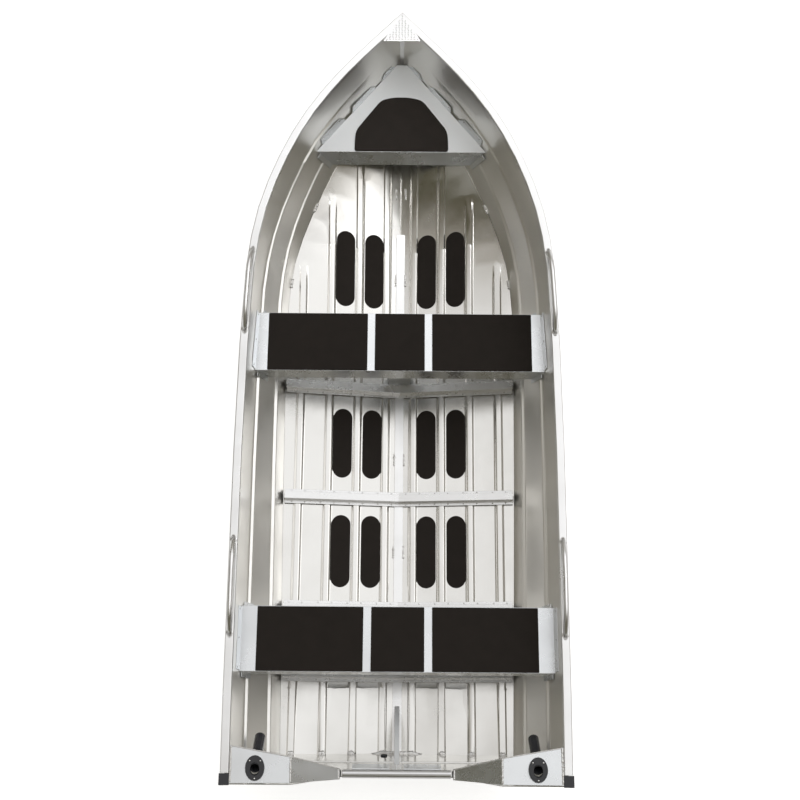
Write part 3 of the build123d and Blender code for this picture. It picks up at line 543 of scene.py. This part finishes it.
class MetalOperator(bpy.types.Operator):
    """Give every CAD node its material, and soften the edges of folds"""

    bl_idname = "dinghy.metal"
    bl_label = "Metal"

    def soft_sheet(self, name, material, radius):
        """A copy of a pressed sheet with its folds rounded, in place of the CAD node."""
        made = bmesh.new()
        made.from_mesh(NODES[name].data)
        bmesh.ops.remove_doubles(made, verts=made.verts, dist=MERGE)
        bmesh.ops.dissolve_limit(made, angle_limit=math.radians(0.5), verts=made.verts, edges=made.edges)
        made.normal_update()
        folds = [e for e in made.edges if len(e.link_faces) == 2 and FOLD_ANGLES[0] < e.calc_face_angle()
                 < FOLD_ANGLES[1] and abs((e.verts[0].co - e.verts[1].co).normalized().y) > 0.4]
        folds = with_room(folds, 2.0 * radius)
        bmesh.ops.bevel(made, geom=folds, offset=radius, offset_type="OFFSET", segments=3, profile=0.5,
                        affect="EDGES", clamp_overlap=False)
        bmesh.ops.triangulate(made, faces=made.faces)
        for edge in made.edges:
            edge.smooth = edge.calc_face_angle(0.0) < SHARP
        mesh = bpy.data.meshes.new(f"{name}_sheet")
        made.to_mesh(mesh)
        made.free()
        mesh.polygons.foreach_set("use_smooth", [True] * len(mesh.polygons))
        mesh.materials.append(MATERIALS[material])
        obj = bpy.data.objects.new(f"{name}_sheet", mesh)
        bpy.context.scene.collection.objects.link(obj)
        normals = obj.modifiers.new("normals", "WEIGHTED_NORMAL")
        normals.keep_sharp = True
        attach(obj, "root")
        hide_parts(name)

    def execute(self, context):
        make_materials(context.scene)
        for side in SIDES:
            self.soft_sheet(f"hull_bottom_{side}", "hull_sheet", context.scene.dinghy_metal.fold)
            # The side walls take the brighter copy of the sheet, which is painted light
            self.soft_sheet(f"hull_side_{side}", "hull_side", context.scene.dinghy_metal.fold)
        for name, obj in NODES.items():
            slot = slot_of(name)
            obj.data.materials.clear()
            # Ribs get the brightened copy, which is painted light
            obj.data.materials.append(MATERIALS["rib_plate" if name in RIBS else slot])
            # Upper faces get a lighter copy of the plate, which is painted light falling from above
            if name in PAINTED_LIGHT_TOPS:
                finish, least = PAINTED_LIGHT_TOPS[name]
                obj.data.materials.append(MATERIALS[finish])
                for face in obj.data.polygons:
                    face.material_index = int(face.normal.z > least)
            custom = obj.data.attributes.get("custom_normal")
            if custom:
                obj.data.attributes.remove(custom)
            rounded_off = not (name.endswith(PLATES) or name.startswith(PLATES))
            obj.data.polygons.foreach_set("use_smooth", [rounded_off] * len(obj.data.polygons))
            weld = obj.modifiers.new("weld", "WELD")
            weld.merge_threshold = MERGE
            bevel = obj.modifiers.new("fold", "BEVEL")
            bevel.limit_method = "ANGLE"
            bevel.angle_limit = math.radians(24)
            bevel.width = FOLDS.get(slot, 0.0007)
            bevel.segments = 3
            bevel.use_clamp_overlap = False
            bevel.harden_normals = False
            if rounded_off:
                normals = obj.modifiers.new("normals", "WEIGHTED_NORMAL")
                normals.keep_sharp = False
        return {"FINISHED"}


class PadOperator(bpy.types.Operator):
    """Build the grip pads on the floor, the benches and the bow seat"""

    bl_idname = "dinghy.pads"
    bl_label = "Grip pads"

    def floor_row(self, name, tree, settings):
        """Pads with round ends that follow the floor."""
        heap = Heap()
        for a, b in islands(NODES[f"{name}_floor_pads"].data):
            x, radius = (a.x + b.x) / 2, (b.x - a.x) / 2
            turns = [math.radians(4 + 86 * i / 9) for i in range(10)]
            round_end = [(radius * (1 - math.cos(t)), radius * math.sin(t)) for t in turns]
            straight = b.y - a.y - 2 * radius
            spots = [(a.y + d, w) for d, w in round_end]
            spots += [(a.y + radius + straight * i / 9, radius) for i in range(1, 9)]
            spots += [(b.y - d, w) for d, w in reversed(round_end)]
            rows = []
            for y, w in spots:
                e, h = min(settings.edge, w * 0.4), settings.floor_height
                row = []
                for px, up in ((-w, 0.0), (-w, h - e), (-w + e * 0.3, h - e * 0.3), (-w + e, h),
                               (w - e, h), (w - e * 0.3, h - e * 0.3), (w, h - e), (w, 0.0)):
                    z = drop(tree, x + px, y)[0].z
                    row.append(Vector((x + px, y, z + 0.0003 + up)))
                rows.append(row)
            heap.rows(rows)
        obj = heap.piece(f"{name}_floor_grip", "grip_pad", smooth=False)
        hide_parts(f"{name}_floor_pads")

    def execute(self, context):
        settings = context.scene.dinghy_pad
        tree = tree_of(*SHEETS)
        for name in PAD_ROWS:
            self.floor_row(name, tree, settings)
        for name in BENCHES:
            heap = Heap()
            for a, b in islands(NODES[f"{name}_bench_pads"].data):
                outline = rounded([Vector((a.x, a.y)), Vector((b.x, a.y)), Vector((b.x, b.y)),
                                   Vector((a.x, b.y))], 0.004)
                slab(heap, outline, a.z, b.z, settings.edge)
            obj = heap.piece(f"{name}_bench_grip", "grip_pad", smooth=False)
            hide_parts(f"{name}_bench_pads")
        low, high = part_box("bow_seat_pad")
        outline = top_outline(NODES["bow_seat_pad"].data, high.z)
        heap = Heap()
        slab(heap, rounded(outline, 0.014, 6), low.z, high.z, settings.edge)
        obj = heap.piece("bow_seat_grip", "grip_pad", smooth=False)
        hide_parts("bow_seat_pad")
        return {"FINISHED"}


def with_room(folds, room):
    """The folds of a sheet that run on towards the bow and have no other fold close beside them."""
    while True:
        ends = {}
        for edge in folds:
            for v in edge.verts:
                ends.setdefault(v, []).append(edge)
        near = KDTree(len(ends))
        for i, v in enumerate(ends):
            near.insert(v.co, i)
        near.balance()
        places = list(ends)

        def crowded(v):
            own = {w for e in ends[v] for w in e.verts}
            return any(places[i] not in own and places[i].normal.dot(v.normal) > 0.2
                       for _, i, _ in near.find_range(v.co, room))

        def stops(v):
            return len(ends[v]) == 1 and v.co.y > CAD_BOX[0][1] + 0.1

        kept = [e for e in folds if not any(crowded(v) for v in e.verts)]
        if len(kept) == len(folds):
            last = {e for e in folds if any(stops(v) for v in e.verts)}
            return [e for e in folds if e not in last]
        folds = kept


def islands(mesh):
    """Lowest and highest corner of each loose part of a mesh, found by where its points lie."""
    groups = {}
    parent = list(range(len(mesh.vertices)))

    def root(i):
        while parent[i] != i:
            parent[i] = parent[parent[i]]
            i = parent[i]
        return i

    places = {}
    for v in mesh.vertices:
        key = tuple(round(c, 5) for c in v.co)
        if key in places:
            parent[root(v.index)] = root(places[key])
        places[key] = v.index
    for p in mesh.polygons:
        for i in p.vertices[1:]:
            parent[root(i)] = root(p.vertices[0])
    for v in mesh.vertices:
        groups.setdefault(root(v.index), []).append(v.co)
    boxes = []
    for points in groups.values():
        boxes.append((Vector([min(p[k] for p in points) for k in range(3)]),
                      Vector([max(p[k] for p in points) for k in range(3)])))
    return sorted(boxes, key=lambda b: (b[0].x, b[0].y))


def top_outline(mesh, z):
    """The corners of a flat convex top, anticlockwise."""
    points = {(round(v.co.x, 5), round(v.co.y, 5)) for v in mesh.vertices if abs(v.co.z - z) < 1e-4}
    cx = sum(p[0] for p in points) / len(points)
    cy = sum(p[1] for p in points) / len(points)
    return [Vector(p) for p in sorted(points, key=lambda p: math.atan2(p[1] - cy, p[0] - cx))]


class RivetOperator(bpy.types.Operator):
    """Set the rivets of the ribs, the bench ends and the bow seat's tabs"""

    bl_idname = "dinghy.rivets"
    bl_label = "Rivets"

    SMALL = 0.9                # a small rivet's share of the full radius
    ACROSS_RIB = (0.036, 0.104, 0.180, 0.246, 0.322, 0.388, 0.466, 0.530)
    RIB_FLANGE = 0.009         # from a rib's edge to its rivets
    ALONG_END = (0.12, 0.5, 0.88)   # shares of a bench's depth
    ACROSS_SKIRT = (-0.560, -0.520, 0.520, 0.560)
    RAYS = 140                 # along the bow seat
    TAB_RAYS = 12              # more than these in a row are a tab

    def ribs(self, settings):
        heap = Heap()
        for name in RIBS:
            tree = tree_of(name)
            low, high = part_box(name)
            for x in self.ACROSS_RIB:
                for sx in (-x, x):
                    for y in (low.y + self.RIB_FLANGE, high.y - self.RIB_FLANGE):
                        place, normal = drop(tree, sx, y)
                        dome(heap, place, normal, settings.rivet * self.SMALL, settings.rivet_height)
        heap.piece("rib_rivets", "steel")

    def benches(self, settings):
        """Three rivets in each upturned end, and two at each end of the aft skirt."""
        heap = Heap()
        for name in BENCHES:
            tree = tree_of(f"{name}_bench")
            low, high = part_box(f"{name}_bench")
            for share in self.ALONG_END:
                for way in WAYS:
                    y = low.y + (high.y - low.y) * share
                    place, normal = cast(tree, (0.4 * way, y, high.z - 0.020), (way, 0, 0))
                    dome(heap, place, normal, settings.rivet, settings.rivet_height)
            top, _ = drop(tree, 0.0, (low.y + high.y) / 2)
            for x in self.ACROSS_SKIRT:
                place, normal = cast(tree, (x, low.y - 0.2, top.z - 0.015), (0, 1, 0))
                dome(heap, place, normal, settings.rivet, settings.rivet_height)
        heap.piece("bench_rivets", "steel")

    def seat(self, settings):
        """Two rivets in each tab of the bow seat, found by rays level with the tabs."""
        heap = Heap()
        tree = tree_of("bow_seat")
        low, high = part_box("bow_seat")
        level = high.z - 0.010
        for way in WAYS:
            run = []
            for i in range(self.RAYS):
                y = low.y + (high.y - low.y) * (i + 0.5) / self.RAYS
                hit, normal, _, _ = tree.ray_cast(Vector((0, y, level)), Vector((way, 0, 0)))
                if hit is not None:
                    run.append((hit, normal))
                    continue
                self.pair(heap, run, way, settings)
                run = []
            self.pair(heap, run, way, settings)
        heap.piece("bow_seat_rivets", "steel")

    def pair(self, heap, run, way, settings):
        if len(run) <= self.TAB_RAYS:
            return
        for place, normal in (run[3], run[-4]):
            inward = normal if normal.x * way < 0 else -normal
            dome(heap, place, inward, settings.rivet * self.SMALL, settings.rivet_height)

    def execute(self, context):
        settings = context.scene.dinghy_fitting
        self.ribs(settings)
        self.benches(settings)
        self.seat(settings)
        return {"FINISHED"}


class WeldOperator(bpy.types.Operator):
    """Lay the weld beads of the stern, the knees and the keel strip"""

    bl_idname = "dinghy.welds"
    bl_label = "Welds"

    STEP = 0.0035                         # between two ripples of a bead
    KNEE_FOLD, KNEE_TIP = 0.458, 0.256    # places of its beads across the boat
    KNOTS = (-0.500, -0.355, -0.212, -0.070, 0.070, 0.212, 0.355, 0.500)   # at the swages' ends
    STRIP_STITCHES = (1.185, 0.719, -0.252, -0.723)
    CHINE_STITCHES = (1.045, 0.650)

    def knee_beads(self, weld):
        """Beads along the fold and both ends of each corner knee."""
        heap = Heap()
        for side, way in zip(SIDES, WAYS):
            knee = tree_of(f"corner_knee_{side}")
            low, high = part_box(f"corner_knee_{side}")
            for x in (self.KNEE_FOLD, self.KNEE_TIP, max(abs(low.x), abs(high.x)) - 0.004):
                ys = [y for y in (low.y + (high.y - low.y) * i / 60 for i in range(61))
                      if under(knee, way * x, y) is not None]
                line = [drop(knee, way * x, y)[0] for y in (ys[0] + 0.002, ys[-1] - 0.002)]
                tube(heap, stepped(line, self.STEP), weld * 1.6, rough=0.5, flat=0.8)
        heap.piece("knee_welds", "weld")

    def knee_lip_highlights(self):
        """A rounded lip along the forward edge of each corner knee, in the bright weld finish as a painted
        highlight of the folded edge.
        """
        heap = Heap()
        for side, way in zip(SIDES, WAYS):
            knee = tree_of(f"corner_knee_{side}")
            low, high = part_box(f"corner_knee_{side}")
            near, far = min(abs(low.x), abs(high.x)) + 0.006, max(abs(low.x), abs(high.x)) - 0.006
            line = []
            for i in range(60):
                x = way * (near + (far - near) * i / 59)
                hits = (under(knee, x, high.y - 0.001 * k) for k in range(240))
                front = next((hit for hit in hits if hit is not None), None)
                if front is not None:
                    line.append(front + Vector((0, -0.0015, -0.0008)))
            tube(heap, line, 0.0028, sides=8)
        heap.piece("knee_lip_highlights", "weld")

    def transom_bead(self, weld, floor):
        """A bead where the transom meets the floor, with a knot at each swage."""
        heap = Heap()
        board = tree_of("transom_board", "transom_plate")
        line = []
        for i in range(-53, 54):
            x = i * 0.0098
            hit = Vector((x, 0.0, 0.16))
            for _ in range(4):
                level = Vector((x, -1.0, hit.z + 0.004)) if hit else None
                foot = board.ray_cast(level, Vector((0, -1, 0)))[0] if level else None
                hit = under(floor, x, foot.y + 0.004) if foot else None
            if hit is not None:
                line.append(hit + Vector((0, 0, 0.002)))
        tube(heap, stepped(line, self.STEP), weld * 2.6, rough=0.5)
        for x in self.KNOTS:
            knot = [p for p in line if abs(p.x - x) < 0.016]
            tube(heap, stepped(knot, self.STEP), weld * 4.0, rough=0.4, flat=0.7)
        heap.piece("transom_weld", "weld")

    def stitches(self, weld, floor):
        """Short beads along both edges of the keel strip and on the seam at the chines."""
        heap = Heap()
        for y in self.STRIP_STITCHES:
            for x in (-0.024, 0.024):
                line = [drop(floor, x, y + d * 0.010)[0] + Vector((0, 0, 0.0022)) for d in range(-3, 4)]
                tube(heap, stepped(line, self.STEP), weld * 1.7, rough=0.9)
        for y in self.CHINE_STITCHES:
            for way in WAYS:
                line = []
                for i in range(9):
                    hits = (under(floor, way * x * 0.001, y + (i - 4) * 0.0055) for x in range(640, 200, -1))
                    edge = next(hit for hit in hits if hit is not None)
                    line.append(edge + Vector((-way * 0.002, 0, 0.002)))
                tube(heap, stepped(line, self.STEP), weld * 2.2, rough=1.0)
        heap.piece("strip_welds", "weld")

    def execute(self, context):
        weld = context.scene.dinghy_fitting.weld
        floor = tree_of(*SHEETS)
        random.seed(7)
        self.knee_beads(weld)
        self.knee_lip_highlights()
        self.transom_bead(weld, floor)
        self.stitches(weld, floor)
        return {"FINISHED"}


class FittingOperator(bpy.types.Operator):
    """Build the handles, the screws of the rod holders and the tread of the bow plate"""

    bl_idname = "dinghy.fittings"
    bl_label = "Fittings"

    TUBE = 0.0106              # radius of a handle
    END = 0.036                # from a handle's end to where its middle line is taken
    FOOT = 0.0155              # radius of its foot, and the foot's place from the end
    FOOT_RINGS = ((0.0155, 0.0004), (0.0155, 0.0024), (0.0147, 0.0033))   # radius and height
    SCREWS = ((-0.023, 0.030), (0.023, 0.030), (0.0, -0.044))             # from a flange's middle
    PITCH = 0.015              # of the tread
    LUG = (0.0062, 0.0024)     # half length and half width
    LUG_RINGS = ((1.0, -0.0002), (0.75, 0.0007), (0.3, 0.0010))           # share of its size, and height

    def handles(self):
        """Round tubes along the CAD handles, with a foot and a weld collar at each end."""
        welds = Heap()
        for name in BENCHES:
            for side in SIDES:
                node = f"{name}_handle_{side}"
                low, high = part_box(node)
                gunwale = tree_of(f"gunwale_{side}")
                heap = Heap()
                start, end = low.y + self.END, high.y - self.END
                line = [middle_at(NODES[node].data, start + (end - start) * i / 48) for i in range(49)]
                feet = []
                for near, after, y in ((line[0], line[1], low.y + self.FOOT),
                                       (line[-1], line[-2], high.y - self.FOOT)):
                    x = near.x + (near.x - after.x) / (near.y - after.y) * (y - near.y)
                    feet.append(drop(gunwale, x, y))
                for place, normal in feet:
                    u, v = across(normal)
                    heap.rows([[place + (u * math.cos(t) + v * math.sin(t)) * radius + normal * up
                                for t in ring(28)] for radius, up in self.FOOT_RINGS])
                line = [feet[0][0] + feet[0][1] * 0.003] + line + [feet[1][0] + feet[1][1] * 0.003]
                for _ in range(6):
                    line[1:-1] = [(p + q + r) / 3 for p, q, r in zip(line, line[1:], line[2:])]
                ends = tube(heap, line, self.TUBE, sides=18, seats=(feet[0][1], feet[1][1]))
                obj = heap.piece(f"{node}_tube", "extrusion")
                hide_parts(node)
                for collar in ends:
                    tube(welds, stepped(collar + [collar[0]], 0.003), 0.0019, sides=6, rough=0.5)
        welds.piece("handle_welds", "weld")

    def screws(self):
        heap = Heap()
        for side in SIDES:
            tree = tree_of(f"rod_holder_{side}")
            low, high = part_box(f"rod_holder_{side}")
            for x, y in self.SCREWS:
                place, normal = drop(tree, (low.x + high.x) / 2 + x, low.y + 0.054 + y)
                dome(heap, place, normal, 0.0040, 0.0016, 12)
        heap.piece("rod_holder_screws", "steel")

    def tread(self):
        """Small raised lugs on the bow cap, each square to its neighbours."""
        tree = tree_of("bow_cap")
        low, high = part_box("bow_cap")
        long, wide = self.LUG
        heap = Heap()
        for i in range(-8, 9):
            for j in range(12):
                x, y = i * self.PITCH, low.y + 0.008 + j * self.PITCH * 0.8
                hit, normal, _, _ = tree.ray_cast(Vector((x, y, 1.2)), DOWN)
                share = (y - low.y) / (high.y - low.y)
                if hit is None or abs(x) > high.x * (1 - share * 0.9) - 0.008:
                    continue
                turn = math.radians(45 if (i + j) % 2 else -45)
                u = Vector((math.cos(turn), math.sin(turn), 0))
                v = Vector((-math.sin(turn), math.cos(turn), 0))
                heap.rows([[hit + u * long * scale * math.cos(a) + v * wide * scale * math.sin(a)
                            + normal * up for a in ring(10)] for scale, up in self.LUG_RINGS])
        heap.piece("bow_cap_tread", "steel")

    def execute(self, context):
        self.handles()
        self.screws()
        self.tread()
        return {"FINISHED"}


class StageOperator(bpy.types.Operator):
    """Set the floor, the lights, the surroundings and the camera"""

    bl_idname = "dinghy.stage"
    bl_label = "Stage"

    TURNS = 64                            # of the round floor
    RINGS = ((60.0, 0.0), (63.0, 0.8), (65.0, 2.6), (66.0, 9.0))   # its radius and height, outwards
    LAMPS = (   # name, place, size, share of the key light, aim, spread in degrees
        ("key", (5.5, 1.5, 6.0), (5.0, 5.0), 1.0, (0.0, 0.0, 0.2), 180),
        ("fill", (-5.0, -3.0, 5.5), (4.0, 4.0), 0.2, (0.0, 0.0, 0.2), 180),
        ("bow", (0.0, 0.9, 4.4), (0.8, 0.8), 0.02, (0.0, 1.55, 0.45), 30),
    )
    SENSOR, SHIFT = 36.0, 0.00075         # width of the camera's frame, and its shift across
    LEAN = 0.54                           # how much brighter the starboard side of the sky is
    AFT_FROM, AFT_SLOPE = 0.30, 0.95      # where the sky starts to darken aft, and how fast
    SKY = (   # level and colour, from the horizon up
        (0.12, (0.075, 0.068, 0.042, 1)), (0.30, (0.15, 0.135, 0.105, 1)), (0.45, (0.43, 0.405, 0.365, 1)),
        (0.62, (0.72, 0.71, 0.70, 1)), (0.80, (0.97, 0.97, 0.97, 1)))

    def floor(self, settings):
        """A round floor that turns up far out. Metal sees it as bright as it is lit, and a little more."""
        mesh = bpy.data.meshes.new("floor")
        n = self.TURNS
        points = [(r * math.cos(a), r * math.sin(a), z) for r, z in self.RINGS for a in ring(n)]
        faces = [tuple(range(n))]
        faces += [(k * n + i, k * n + (i + 1) % n, (k + 1) * n + (i + 1) % n, (k + 1) * n + i)
                  for k in range(len(self.RINGS) - 1) for i in range(n)]
        mesh.from_pydata(points, [], faces)
        material, tree, shader, _ = start_material("floor", settings.floor, 0.9, 0.0)
        path = tree.nodes.new("ShaderNodeLightPath")
        mirrored = tree.nodes.new("ShaderNodeMath")
        mirrored.operation = "MULTIPLY"
        mirrored.inputs[1].default_value = settings.mirrored
        tree.links.new(path.outputs["Is Glossy Ray"], mirrored.inputs[0])
        glow = tree.nodes.new("ShaderNodeMath")
        glow.operation = "MULTIPLY_ADD"
        glow.inputs[1].default_value = settings.backdrop
        tree.links.new(path.outputs["Is Camera Ray"], glow.inputs[0])
        tree.links.new(mirrored.outputs[0], glow.inputs[2])
        shader.inputs["Emission Color"].default_value = (1.0, 1.0, 1.0, 1.0)
        tree.links.new(glow.outputs[0], shader.inputs["Emission Strength"])
        mesh.materials.append(material)
        obj = bpy.data.objects.new("floor", mesh)
        bpy.context.scene.collection.objects.link(obj)

    def light(self, name, place, size, power, aim, spread):
        data = bpy.data.lights.new(name, "AREA")
        data.shape = "RECTANGLE"
        data.size, data.size_y = size
        data.energy = power
        data.spread = math.radians(spread)
        obj = bpy.data.objects.new(name, data)
        obj.location = place
        obj.rotation_euler = (Vector(aim) - Vector(place)).to_track_quat("-Z", "Y").to_euler()
        bpy.context.scene.collection.objects.link(obj)

    def surroundings(self, settings):
        """White overhead, dark trees low down, and less light from the port side."""
        world = bpy.data.worlds.new("surroundings")
        bpy.context.scene.world = world
        world.use_nodes = True
        tree = world.node_tree
        back = tree.nodes["Background"]
        place = tree.nodes.new("ShaderNodeTexCoord")
        split = tree.nodes.new("ShaderNodeSeparateXYZ")
        tree.links.new(place.outputs["Generated"], split.inputs[0])
        lean = tree.nodes.new("ShaderNodeMath")
        lean.operation = "MULTIPLY_ADD"
        lean.inputs[1].default_value = self.LEAN
        lean.inputs[2].default_value = 1.0
        tree.links.new(split.outputs["X"], lean.inputs[0])
        level = tree.nodes.new("ShaderNodeMath")
        level.operation = "MULTIPLY"
        tree.links.new(split.outputs["Z"], level.inputs[0])
        tree.links.new(lean.outputs[0], level.inputs[1])
        behind = tree.nodes.new("ShaderNodeMath")
        behind.operation = "SUBTRACT"
        behind.inputs[1].default_value = self.AFT_FROM
        tree.links.new(split.outputs["Y"], behind.inputs[0])
        only = tree.nodes.new("ShaderNodeMath")
        only.operation = "MINIMUM"
        only.inputs[1].default_value = 0.0
        tree.links.new(behind.outputs[0], only.inputs[0])
        shade = tree.nodes.new("ShaderNodeMath")
        shade.operation = "MULTIPLY_ADD"
        shade.inputs[1].default_value = self.AFT_SLOPE
        tree.links.new(only.outputs[0], shade.inputs[0])
        tree.links.new(level.outputs[0], shade.inputs[2])
        ramp = tree.nodes.new("ShaderNodeValToRGB")
        ramp.color_ramp.elements[0].position = 0.0
        ramp.color_ramp.elements[0].color = (0.085, 0.078, 0.050, 1)
        ramp.color_ramp.elements[1].position = 1.0
        ramp.color_ramp.elements[1].color = (1.0, 1.0, 1.0, 1)
        for position, colour in self.SKY:
            ramp.color_ramp.elements.new(position).color = colour
        tree.links.new(shade.outputs[0], ramp.inputs["Fac"])
        tree.links.new(ramp.outputs["Color"], back.inputs["Color"])
        back.inputs["Strength"].default_value = settings.sky

    def execute(self, context):
        settings = context.scene.dinghy_stage
        self.floor(settings)
        self.surroundings(settings)
        for name, place, size, share, aim, spread in self.LAMPS:
            self.light(name, place, size, settings.key * share, aim, spread)
        data = bpy.data.cameras.new("camera")
        data.lens = settings.lens
        data.sensor_width = self.SENSOR
        data.shift_x = self.SHIFT
        camera = bpy.data.objects.new("camera", data)
        camera.location = (0.0, -settings.aft, settings.height)
        camera.rotation_mode = "QUATERNION"
        camera.rotation_quaternion = (Quaternion((1, 0, 0), settings.tilt)
                                      @ Quaternion((0, 0, 1), settings.roll))
        context.scene.collection.objects.link(camera)
        context.scene.camera = camera
        context.scene.view_settings.view_transform = "Standard"
        return {"FINISHED"}


class DinghyPanel(bpy.types.Panel):
    """The dinghy's steps"""

    bl_idname = "VIEW3D_PT_dinghy"
    bl_label = "Dinghy"
    bl_space_type = "VIEW_3D"
    bl_region_type = "UI"
    bl_category = "Dinghy"

    def draw(self, context):
        for operator in OPERATORS:
            self.layout.operator(operator.bl_idname)
        for name in GROUPS:
            settings = getattr(context.scene, name)
            for prop in settings.__annotations__:
                self.layout.prop(settings, prop)


OPERATORS = (MetalOperator, PadOperator, RivetOperator, WeldOperator, FittingOperator, StageOperator)
GROUPS = {"dinghy_metal": MetalSettings, "dinghy_pad": PadSettings, "dinghy_fitting": FittingSettings,
          "dinghy_stage": StageSettings}


def register():
    for group in GROUPS.values():
        bpy.utils.register_class(group)
    for name, group in GROUPS.items():
        setattr(bpy.types.Scene, name, bpy.props.PointerProperty(type=group))
    for made in OPERATORS + (DinghyPanel,):
        bpy.utils.register_class(made)


def unregister():
    for made in (DinghyPanel,) + OPERATORS[::-1]:
        bpy.utils.unregister_class(made)
    for name in GROUPS:
        delattr(bpy.types.Scene, name)
    for group in GROUPS.values():
        bpy.utils.unregister_class(group)


def main():
    register()
    bpy.ops.dinghy.metal()
    bpy.ops.dinghy.pads()
    bpy.ops.dinghy.rivets()
    bpy.ops.dinghy.welds()
    bpy.ops.dinghy.fittings()
    bpy.ops.dinghy.stage()


if __name__ == "__main__":
    main()
